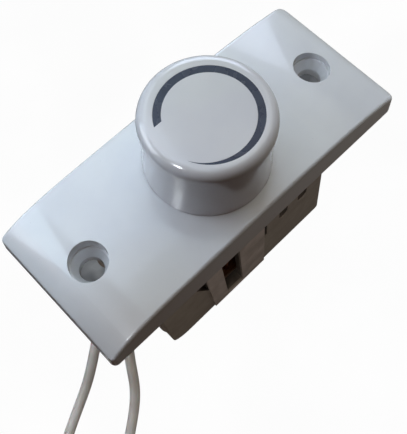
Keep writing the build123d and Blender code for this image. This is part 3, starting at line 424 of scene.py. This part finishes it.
# ---- Materials of the CAD nodes ----
HOUSING_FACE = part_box("rear_housing")[1].y
PANEL_DEPTH = 0.5 * MM
# Corners of the box inside the housing whose colour is painted dark as shade.
HOUSING_INSIDE = (Vector((-24.9, -15.2, -31.5)) * MM, Vector((18.5, 15.2, 0.0)) * MM)
# Where the plate's painted shadow is darkest: its near corner at the lead end.
SHADED_CORNER_AT = Vector((-30.0, -16.0, 6.0)) * MM
# material slot in the record: its material
looks = {
    "white_plastic": glossy_plastic(
        "white_urea", (0.74, 0.77, 0.80), (0.70, 0.73, 0.77), shaded_corner=SHADED_CORNER_AT
    ),
    "knob_plastic": glossy_plastic("knob_gloss", (0.70, 0.71, 0.74), (0.67, 0.68, 0.72), roughness=0.1),
    "housing_plastic": recessed_satin(
        "housing_taupe",
        (0.62, 0.54, 0.48),
        # Painted shade of the sunken panels.
        (0.38, 0.335, 0.27),
        (0.28, 0.23, 0.185),
        HOUSING_FACE,
        PANEL_DEPTH,
        *HOUSING_INSIDE,
    ),
    "mark_ink": printed_ink("slate_ink", (0.030, 0.038, 0.075), (0.042, 0.056, 0.098)),
    "zinc_steel": plated_metal("zinc_plate", (0.62, 0.62, 0.60), (0.50, 0.49, 0.44)),
    "spring_steel": plated_metal("blued_steel", (0.30, 0.32, 0.36), (0.20, 0.20, 0.27), roughness=0.26),
    "brass": plated_metal("turned_brass", (0.78, 0.58, 0.26), (0.62, 0.43, 0.18), brushed=(1, 1, 0.05)),
    "nickel_brass": plated_metal("nickel", (0.70, 0.66, 0.58), (0.60, 0.55, 0.45)),
    "tinned_brass": plated_metal("tinned_brass", (0.70, 0.68, 0.62), (0.56, 0.52, 0.44)),
    "tinned_copper": plated_metal("bare_copper", (0.80, 0.50, 0.34), (0.60, 0.32, 0.20)),
    "enamelled_copper": plated_metal(
        "enamelled_wire", (0.55, 0.20, 0.07), (0.40, 0.12, 0.04), roughness=0.22
    ),
    "bronze": plated_metal("spring_bronze", (0.72, 0.48, 0.26), (0.58, 0.36, 0.18)),
    "aluminium": plated_metal("mill_aluminium", (0.74, 0.75, 0.76), (0.64, 0.65, 0.66), roughness=0.36),
    "phenolic_brown": laminate("paper_laminate", (0.24, 0.15, 0.085), (0.32, 0.21, 0.12)),
    "phenolic_black": dark_moulding("black_phenolic", (0.022, 0.020, 0.019), (0.05, 0.042, 0.036)),
    "cam_plastic": satin_plastic("natural_nylon", (0.72, 0.69, 0.6), (0.62, 0.58, 0.48), (0.8, 0.78, 0.7)),
    "capacitor_red": glossy_plastic("red_dip", (0.28, 0.022, 0.016), (0.22, 0.018, 0.014), roughness=0.2),
    "capacitor_green": glossy_plastic("green_dip", (0.03, 0.14, 0.06), (0.022, 0.11, 0.05), roughness=0.24),
    "diac_blue": glossy_plastic("blue_glass", (0.05, 0.11, 0.33), (0.04, 0.08, 0.26), roughness=0.08),
    "resistor_tan": glossy_plastic("tan_lacquer", (0.48, 0.32, 0.16), (0.42, 0.28, 0.13), roughness=0.3),
    "ferrite": dark_moulding("sintered_ferrite", (0.035, 0.035, 0.038), (0.065, 0.065, 0.07), roughness=0.6),
    "epoxy_black": dark_moulding("black_epoxy", (0.018, 0.018, 0.020), (0.032, 0.031, 0.032), roughness=0.5),
    "lead_pvc": soft_pvc("offwhite_pvc", (0.82, 0.81, 0.76), (0.62, 0.60, 0.54)),
}

for part in frame["record"]["subparts"]:
    node = frame["nodes"][part["node"]]
    node.data.materials.clear()
    node.data.materials.append(looks[part["material_slot"]])


# ---- Mesh pieces ----
class Shape:
    """Skins gathered for one mesh piece, with a material number for each face."""

    def __init__(self):
        self.points, self.faces, self.kinds = [], [], []

    def skin(self, rings, kind=0):
        """Joins rings of points into a closed skin, capped at both ends."""
        first, count = len(self.points), len(rings[0])
        for ring in rings:
            self.points.extend(ring)
        faces = [range(first, first + count), range(len(self.points) - count, len(self.points))]
        for row in range(len(rings) - 1):
            low = first + row * count
            for k in range(count):
                after = (k + 1) % count
                faces.append((low + k, low + after, low + count + after, low + count + k))
        self.faces.extend(tuple(face) for face in faces)
        self.kinds.extend([kind] * len(faces))

    def turned(self, profile, origin, axis, sides=32, kind=0):
        """A turned body: profile is (distance along the axis, radius)."""
        across, up = side_vectors(axis)
        rings = []
        for along, radius in profile:
            centre = origin + axis * along
            rings.append([centre + radius * spoke(across, up, k / sides) for k in range(sides)])
        self.skin(rings, kind)

    def tube(self, path, radius, sides=12, kind=0):
        """A round wire along a path of points."""
        rings, across = [], None
        for k, point in enumerate(path):
            ahead = (path[min(k + 1, len(path) - 1)] - path[max(k - 1, 0)]).normalized()
            if across is None:
                across = side_vectors(ahead)[0]
            across = (across - ahead * across.dot(ahead)).normalized()
            up = ahead.cross(across)
            rings.append([point + radius * spoke(across, up, n / sides) for n in range(sides)])
        self.skin(rings, kind)

    def piece(self, name, materials, sharp=40):
        """Makes the object, shaded smooth except at sharp edges, riding on the fixed body."""
        mesh = bpy.data.meshes.new(name)
        mesh.from_pydata(self.points, [], self.faces)
        mesh.polygons.foreach_set("material_index", self.kinds)
        work = bmesh.new()
        work.from_mesh(mesh)
        bmesh.ops.recalc_face_normals(work, faces=work.faces)
        work.to_mesh(mesh)
        work.free()
        mesh.shade_smooth()
        mesh.set_sharp_from_angle(angle=math.radians(sharp))
        for material in materials:
            mesh.materials.append(material)
        made = bpy.data.objects.new(name, mesh)
        scene.collection.objects.link(made)
        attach(made, "base")
        return made


UP = Vector((0, 0, 1))
ALONG = Vector((1, 0, 0))
NEARLY_UPRIGHT = 0.9


def side_vectors(axis):
    """Two unit vectors square to an axis and to each other."""
    helper = UP if abs(axis.z) < NEARLY_UPRIGHT else ALONG
    across = axis.cross(helper).normalized()
    return across, axis.cross(across)


def spoke(across, up, share):
    """The unit vector at a share of a full turn from across towards up."""
    angle = 2 * math.pi * share
    return across * math.cos(angle) + up * math.sin(angle)


def rounded(corners, radius, steps=6):
    """A path through the first and last corner, with an arc at each corner between."""
    path = [corners[0]]
    for before, corner, after in zip(corners, corners[1:], corners[2:]):
        back, ahead = (before - corner).normalized(), (after - corner).normalized()
        start, stop = corner + back * radius, corner + ahead * radius
        for k in range(steps + 1):
            t = k / steps
            path.append(start * (1 - t) ** 2 + corner * 2 * t * (1 - t) + stop * t**2)
    path.append(corners[-1])
    return path


board_low, board_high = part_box("circuit_board")
leg_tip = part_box("film_capacitor")[0].z
FOOT_REACH = 0.02 * MM
LEG_GROUP = 1.9 * MM
LEG_RADIUS = 0.35 * MM
ROW_DECIMALS = 5  # legs of one wire share their Y to a hundredth of a millimetre


def feet(node, height):
    """Centres of the separate wires and blades of a node at one height, where they stand on the board."""
    found = []
    shape = frame["nodes"][node]
    for vertex in shape.data.vertices:
        point = shape.matrix_world @ vertex.co
        if abs(point.z - height) > FOOT_REACH or not board_low.x < point.x < board_high.x:
            continue
        near = next((group for group in found if (group[0] - point).length < LEG_GROUP), None)
        if near is None:
            found.append([point])
        else:
            near.append(point)
    return [sum(group, Vector()) / len(group) for group in found]


# Solder on every leg under the board: a hollow cone from a copper pad up the wire.
SOLDERED = [
    "film_capacitor",
    "timing_capacitor",
    "diac",
    "timing_resistors",
    "choke_winding",
    "triac",
    "jumper_wires",
    "switch_terminals",
    "lead_cores",
]
PAD_RADIUS = 1.15 * MM
PAD_THICKNESS = 0.06 * MM
# share of the height below the board, and radius as a share of the pad's
SOLDER = [(0.0, 1.0), (0.12, 0.72), (0.3, 0.5), (0.55, 0.38), (0.78, 0.31)]
ROUND_SIDES = 24
solder_height = board_low.z - leg_tip
solder, pads = Shape(), Shape()
for node in SOLDERED:
    for foot in feet(node, leg_tip):
        top = Vector((foot.x, foot.y, board_low.z))
        pads.turned([(0, PAD_RADIUS), (PAD_THICKNESS, PAD_RADIUS)], top, -UP, sides=ROUND_SIDES)
        cone = [(PAD_THICKNESS + share * solder_height, wide * PAD_RADIUS) for share, wide in SOLDER]
        solder.turned(cone, top, -UP, sides=ROUND_SIDES)
solder.piece("solder_joints", [plated_metal("solder", (0.66, 0.66, 0.65), (0.5, 0.5, 0.5), roughness=0.22)])
pads.piece("solder_pads", [looks["tinned_copper"]])

# Resistors and a trigger diode: bodies with generic bands, on the wires they are bent from.
# Profiles are shares of a body's half length and of its widest radius; bands are in millimetres.
RESISTOR_HALF, RESISTOR_WIDEST = 3.2 * MM, 1.2 * MM
RESISTOR_PROFILE = [(-1.0, 0.45), (-0.97, 0.78), (-0.88, 0.98), (-0.74, 1.0), (-0.6, 0.92), (-0.5, 0.84)]
RESISTOR_BANDS = [
    (-2.9, -2.35, (0.10, 0.035, 0.02)),
    (-1.3, -0.75, (0.35, 0.06, 0.02)),
    (-0.1, 0.45, (0.55, 0.35, 0.03)),
    (2.2, 2.75, (0.45, 0.33, 0.12)),
]
DIODE_HALF, DIODE_WIDEST = 2.0 * MM, 0.95 * MM
DIODE_PROFILE = [(-1.0, 0.4), (-0.95, 0.75), (-0.82, 0.95), (-0.65, 1.0)]
DIODE_BANDS = [
    (-1.7, -0.35, (0.40, 0.13, 0.05)),
    (0.35, 1.7, (0.40, 0.13, 0.05)),
    (-0.2, 0.2, (0.03, 0.06, 0.20)),
]
WIRE_BEND = 0.8 * MM


def axial(name, node, half_profile, half, widest, bands, coating, colour, **finish):
    """Turned bodies on bent wires, one for each pair of legs of the node they replace.

    coating and colour name and tint the bodies' banded material, and finish is its other settings.
    """
    low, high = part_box(node)
    middle = (low.x + high.x) / 2
    height = high.z - widest
    profile = half_profile + [(-along, radius) for along, radius in reversed(half_profile)]
    body = [(along * half, radius * widest) for along, radius in profile]
    left, right = low.x + LEG_RADIUS, high.x - LEG_RADIUS
    corners = [(left, leg_tip), (left, height), (right, height), (right, leg_tip)]
    shape = Shape()
    for y in sorted({round(foot.y, ROW_DECIMALS) for foot in feet(node, leg_tip)}):
        wire = rounded([Vector((x, y, z)) for x, z in corners], WIRE_BEND)
        shape.tube(wire, LEG_RADIUS, kind=1)
        shape.turned(body, Vector((middle, y, height)), ALONG)
    printed = [(start * MM, stop * MM, tint) for start, stop, tint in bands]
    lacquer = banded(coating, colour, printed, middle, **finish)
    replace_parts(shape.piece(name, [lacquer, looks["tinned_brass"]]), node)


axial(
    "resistors",
    "timing_resistors",
    RESISTOR_PROFILE,
    RESISTOR_HALF,
    RESISTOR_WIDEST,
    RESISTOR_BANDS,
    "banded_lacquer",
    (0.52, 0.40, 0.24),
)
axial(
    "trigger_diode",
    "diac",
    DIODE_PROFILE,
    DIODE_HALF,
    DIODE_WIDEST,
    DIODE_BANDS,
    "banded_glass",
    (0.35, 0.42, 0.50),
    roughness=0.08,
    transmission=0.35,
)

# Choke winding: one wire wound round the ring core, its ends led down through the board.
CHOKE_TURNS = 16
CHOKE_WIRE = 0.35 * MM
CHOKE_HOLE = 2.75 * MM
CHOKE_SPAN = 300
CHOKE_GAP = -90  # the direction, in degrees, of the gap between the winding's ends
STEPS_PER_TURN = 24
SQUARENESS = 0.28
TAIL_INSET = 0.2  # how far below the first and last turn the tails join, in wire radii
core_low, core_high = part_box("choke_core")
core_centre = (core_low + core_high) / 2
core_outer = (core_high.x - core_low.x) / 2
turn_wide = (core_outer - CHOKE_HOLE) / 2 + CHOKE_WIRE
turn_high = (core_high.z - core_low.z) / 2 + CHOKE_WIRE
ring_radius = (core_outer + CHOKE_HOLE) / 2


def squared(value):
    """Pushes a sine or cosine outwards, so that a circle becomes a rounded rectangle."""
    return math.copysign(abs(value) ** SQUARENESS, value)


winding = []
for step in range(CHOKE_TURNS * STEPS_PER_TURN + 1):
    share = step / (CHOKE_TURNS * STEPS_PER_TURN)
    round_core = math.radians(CHOKE_GAP + (360 - CHOKE_SPAN) / 2 + share * CHOKE_SPAN)
    round_wire = 2 * math.pi * step / STEPS_PER_TURN - math.pi / 2
    reach = ring_radius + turn_wide * squared(math.cos(round_wire))
    rise_by = turn_high * squared(math.sin(round_wire))
    winding.append(
        core_centre + Vector((reach * math.cos(round_core), reach * math.sin(round_core), rise_by))
    )
if winding[0].x > winding[-1].x:
    winding.reverse()
choke_feet = sorted(feet("choke_winding", leg_tip), key=lambda foot: foot.x)
tails = []
for foot, inner in ((choke_feet[0], winding[0]), (choke_feet[1], winding[-1])):
    corners = [
        Vector((foot.x, foot.y, leg_tip)),
        Vector((foot.x, foot.y, board_high.z + CHOKE_WIRE)),
        inner - UP * CHOKE_WIRE * TAIL_INSET,
    ]
    tails.append(rounded(corners, CHOKE_WIRE))
coil = Shape()
coil.tube(tails[0] + winding + tails[1][::-1], CHOKE_WIRE, sides=10)
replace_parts(coil.piece("choke_coil", [looks["enamelled_copper"]]), "choke_winding")

# Stranded ends of the leads: a twisted bundle round the core where the sleeve is stripped.
STRAND_COUNT = 7
STRAND_RADIUS = 0.17 * MM
STRAND_REACH = 0.44 * MM
STRIPPED = 5.8 * MM
TWIST_TURNS = 1.3
STRAND_STEPS = 30
strands = Shape()
for mount in frame["record"]["mounts"]:
    if not mount["name"].endswith("_lead_end"):
        continue
    axis = Vector(mount["axis"]).normalized()
    across, up = side_vectors(axis)
    begin = Vector(mount["pos_m"]) - axis * STRIPPED / 2
    for strand in range(STRAND_COUNT):
        path = []
        for step in range(STRAND_STEPS + 1):
            share = step / STRAND_STEPS
            turned_by = strand / STRAND_COUNT + TWIST_TURNS * share
            path.append(begin + axis * STRIPPED * share + STRAND_REACH * spoke(across, up, turned_by))
        strands.tube(path, STRAND_RADIUS, sides=8)
strands.piece("lead_strands", [looks["tinned_copper"]])

# Legs and tabs that share a node with a coloured body are bare metal.
TRIAC_BODY = (-22.0 * MM, -13.0 * MM)
CAPACITOR_BODY = (board_high.z + 0.3 * MM, 0.0)  # up to the wall plane, which is above both
tinned_beyond(looks["epoxy_black"], *TRIAC_BODY)
tinned_beyond(looks["capacitor_red"], *CAPACITOR_BODY)
tinned_beyond(looks["capacitor_green"], *CAPACITOR_BODY)


# ---- Camera: above the lead end's near corner, looking down on the plate ----
CAMERA_AIM = Vector((-7.29, -6.52, 0.0)) * MM
CAMERA_AZIMUTH = -44.42
CAMERA_ELEVATION = 68.36
CAMERA_DISTANCE = 127.1 * MM
CAMERA_ROLL = 0.23
CAMERA_LENS = 53.52
SENSOR = 36.0
NEAREST, FARTHEST = 1 * MM, 20.0

turn = math.radians(CAMERA_AZIMUTH)
rise = math.radians(CAMERA_ELEVATION)
back = Vector((math.sin(turn) * math.cos(rise), -math.cos(turn) * math.cos(rise), math.sin(rise)))
camera_data = bpy.data.cameras.new("camera")
camera_data.lens = CAMERA_LENS
camera_data.sensor_width = SENSOR
camera_data.clip_start = NEAREST
camera_data.clip_end = FARTHEST
camera = bpy.data.objects.new("camera", camera_data)
camera.location = CAMERA_AIM + back * CAMERA_DISTANCE
camera.rotation_mode = "QUATERNION"
level_view = (-back).to_track_quat("-Z", "Y").to_matrix().to_4x4()
camera.rotation_quaternion = (
    level_view @ Matrix.Rotation(math.radians(CAMERA_ROLL), 4, "Z")
).to_quaternion()
scene.collection.objects.link(camera)
scene.camera = camera

# ---- Floor: pale, and dark where it shows through the fixing holes, as it is under the plate ----
FLOOR_GAP = 0.5 * MM
FLOOR_SIZE = 6.0
FLOOR_TONES = ((0.96, 0.96, 0.96), (1.0, 1.0, 1.0))
FLOOR_SHADE = ((0.075, 0.080, 0.088), (0.17, 0.18, 0.19))
SHADE_RADIUS, SHADE_CORE = 7.0 * MM, 3.85 * MM
# Cosine between a line of sight and the camera's own, where the shade begins and where it is full.
SIGHT_EDGE, SIGHT_CORE = 0.996, 0.9985


def floor_material(sights):
    """Pale and nearly shadeless from above, dark down each line of sight, and clear from below."""
    s = Surface.fresh("pale_floor")
    tone = s.mix(s.noise(size=30 * MM), *FLOOR_TONES)
    shade = s.mix(s.patches(0.35, 0.65, size=5 * MM, detail=1), *FLOOR_SHADE)
    geometry = s.node("ShaderNodeNewGeometry")
    for point, sight in sights:
        near = s.span(s.vector_math("DISTANCE", s.place, point), SHADE_RADIUS, SHADE_CORE)
        facing = s.vector_math("DOT_PRODUCT", geometry.outputs["Incoming"], -sight.normalized())
        along = s.span(facing, SIGHT_EDGE, SIGHT_CORE)
        tone = s.tint(tone, near, along, shade)
    glow = s.node("ShaderNodeEmission")
    s.feed(glow.inputs["Color"], tone)
    clear = s.node("ShaderNodeBsdfTransparent")
    s.feed(s.result(), s.between(geometry.outputs["Backfacing"], glow.outputs[0], clear.outputs[0]))
    return s.material


half = FLOOR_SIZE / 2
level = cad_low.z - FLOOR_GAP
holes = next(m for m in frame["record"]["mounts"] if m["name"] == "fixing_holes")
FIXING_X = holes["dims"]["spacing_x_mm"] / 2 * MM
HOLE_MIDDLE = 1.0 * MM  # height of the middle of a fixing hole's narrow part
floor_mesh = bpy.data.meshes.new("floor")
corners = [(-half, -half, level), (half, -half, level), (half, half, level), (-half, half, level)]
floor_mesh.from_pydata(corners, [], [(0, 1, 2, 3)])
floor = bpy.data.objects.new("floor", floor_mesh)
sights = []
for side in (-1, 1):
    hole = Vector((side * FIXING_X, 0, HOLE_MIDDLE))
    sight = hole - camera.location
    sights.append((hole + sight * ((level - hole.z) / sight.z), sight))
floor.data.materials.append(floor_material(sights))
floor.visible_diffuse = False
floor.visible_glossy = False
scene.collection.objects.link(floor)


# ---- Light: broad soft lamps behind, dim surroundings, and a fill in front for housing and leads ----
LAMP_DISTANCE = 0.4
LAMP_SIZE = 0.22
# name: azimuth and elevation in degrees, distance and size in metres, watts of red, green and blue
LAMPS = {
    "far_corner": (45, 30, LAMP_DISTANCE, LAMP_SIZE, (0.432, 0.488, 0.613)),
    "back_left": (135, 30, LAMP_DISTANCE, LAMP_SIZE, (0.074, 0.020, 0.004)),
    "right": (0, 60, LAMP_DISTANCE, LAMP_SIZE, (0.141, 0.148, 0.132)),
    "back": (90, 60, LAMP_DISTANCE, LAMP_SIZE, (0.224, 0.261, 0.312)),
    "overhead": (0, 90, LAMP_DISTANCE, LAMP_SIZE, (0.099, 0.125, 0.131)),
    "far_left": (135, 35, 0.12, 0.07, (0.045, 0.055, 0.063)),
    "near_back": (60, 45, 0.2, 0.12, (0.011, 0.018, 0.006)),
    "window": (176, 58, 0.6, 0.07, (0.80, 0.84, 0.88)),
    "near_fill": (-135, 40, 0.5, 0.3, (0.36, 0.36, 0.36)),
}
GLOSS_ONLY = ["window"]
# The fill from the camera's side reaches only these nodes.
FILLED = {"near_fill": ["lead_line", "lead_load", "rear_housing"]}
LOBE_POWER = 2.0
# direction: radiance of red, green and blue, which falls off as that power of the cosine
SURROUNDINGS = {
    (0, 0, 1): (0.130, 0.039, 0.002),
    (1, 0, 0): (0.400, 0.391, 0.364),
    (0, 0, -1): (0.075, 0.057, 0.049),
}


def area_light(name, azimuth, elevation, distance, size, watts):
    """A square lamp aimed at the part's origin from a direction."""
    data = bpy.data.lights.new(name, "AREA")
    data.size = size
    data.energy = max(watts)
    data.color = [w / max(watts) for w in watts]
    lamp = bpy.data.objects.new(name, data)
    turn, rise = math.radians(azimuth), math.radians(elevation)
    out = Vector((math.cos(turn) * math.cos(rise), math.sin(turn) * math.cos(rise), math.sin(rise)))
    lamp.location = out * distance
    lamp.rotation_mode = "QUATERNION"
    lamp.rotation_quaternion = (-out).to_track_quat("-Z", "Y")
    lamp.visible_camera = False
    lamp.visible_diffuse = name not in GLOSS_ONLY
    if name in FILLED:
        lamp.visible_glossy = False
        reached = bpy.data.collections.new(name + "_reaches")
        for node in FILLED[name]:
            reached.objects.link(frame["nodes"][node])
        lamp.light_linking.receiver_collection = reached
    scene.collection.objects.link(lamp)


def world_light():
    """White to the camera; to the object, a few broad soft lobes."""
    world = bpy.data.worlds.new("studio")
    scene.world = world
    world.use_nodes = True
    w = Nodes(world.node_tree)
    w.tree.nodes.clear()
    direction = w.node("ShaderNodeTexCoord").outputs["Generated"]
    total = (0.0, 0.0, 0.0)
    for axis, radiance in SURROUNDINGS.items():
        front = w.math("MAXIMUM", w.vector_math("DOT_PRODUCT", direction, axis), 0.0)
        lobe = w.joined("ShaderNodeVectorMath", "SCALE", radiance)
        w.feed(lobe.inputs["Scale"], w.math("POWER", front, LOBE_POWER))
        total = w.vector_math("ADD", total, lobe.outputs[0])
    rooms = w.node("ShaderNodeBackground")
    w.feed(rooms.inputs["Color"], total)
    seen = w.node("ShaderNodeBackground")
    seen.inputs["Color"].default_value = (1, 1, 1, 1)
    camera_ray = w.node("ShaderNodeLightPath").outputs["Is Camera Ray"]
    output = w.node("ShaderNodeOutputWorld")
    w.feed(output.inputs["Surface"], w.between(camera_ray, rooms.outputs[0], seen.outputs[0]))


for name, settings in LAMPS.items():
    area_light(name, *settings)
world_light()
scene.view_settings.view_transform = "Standard"
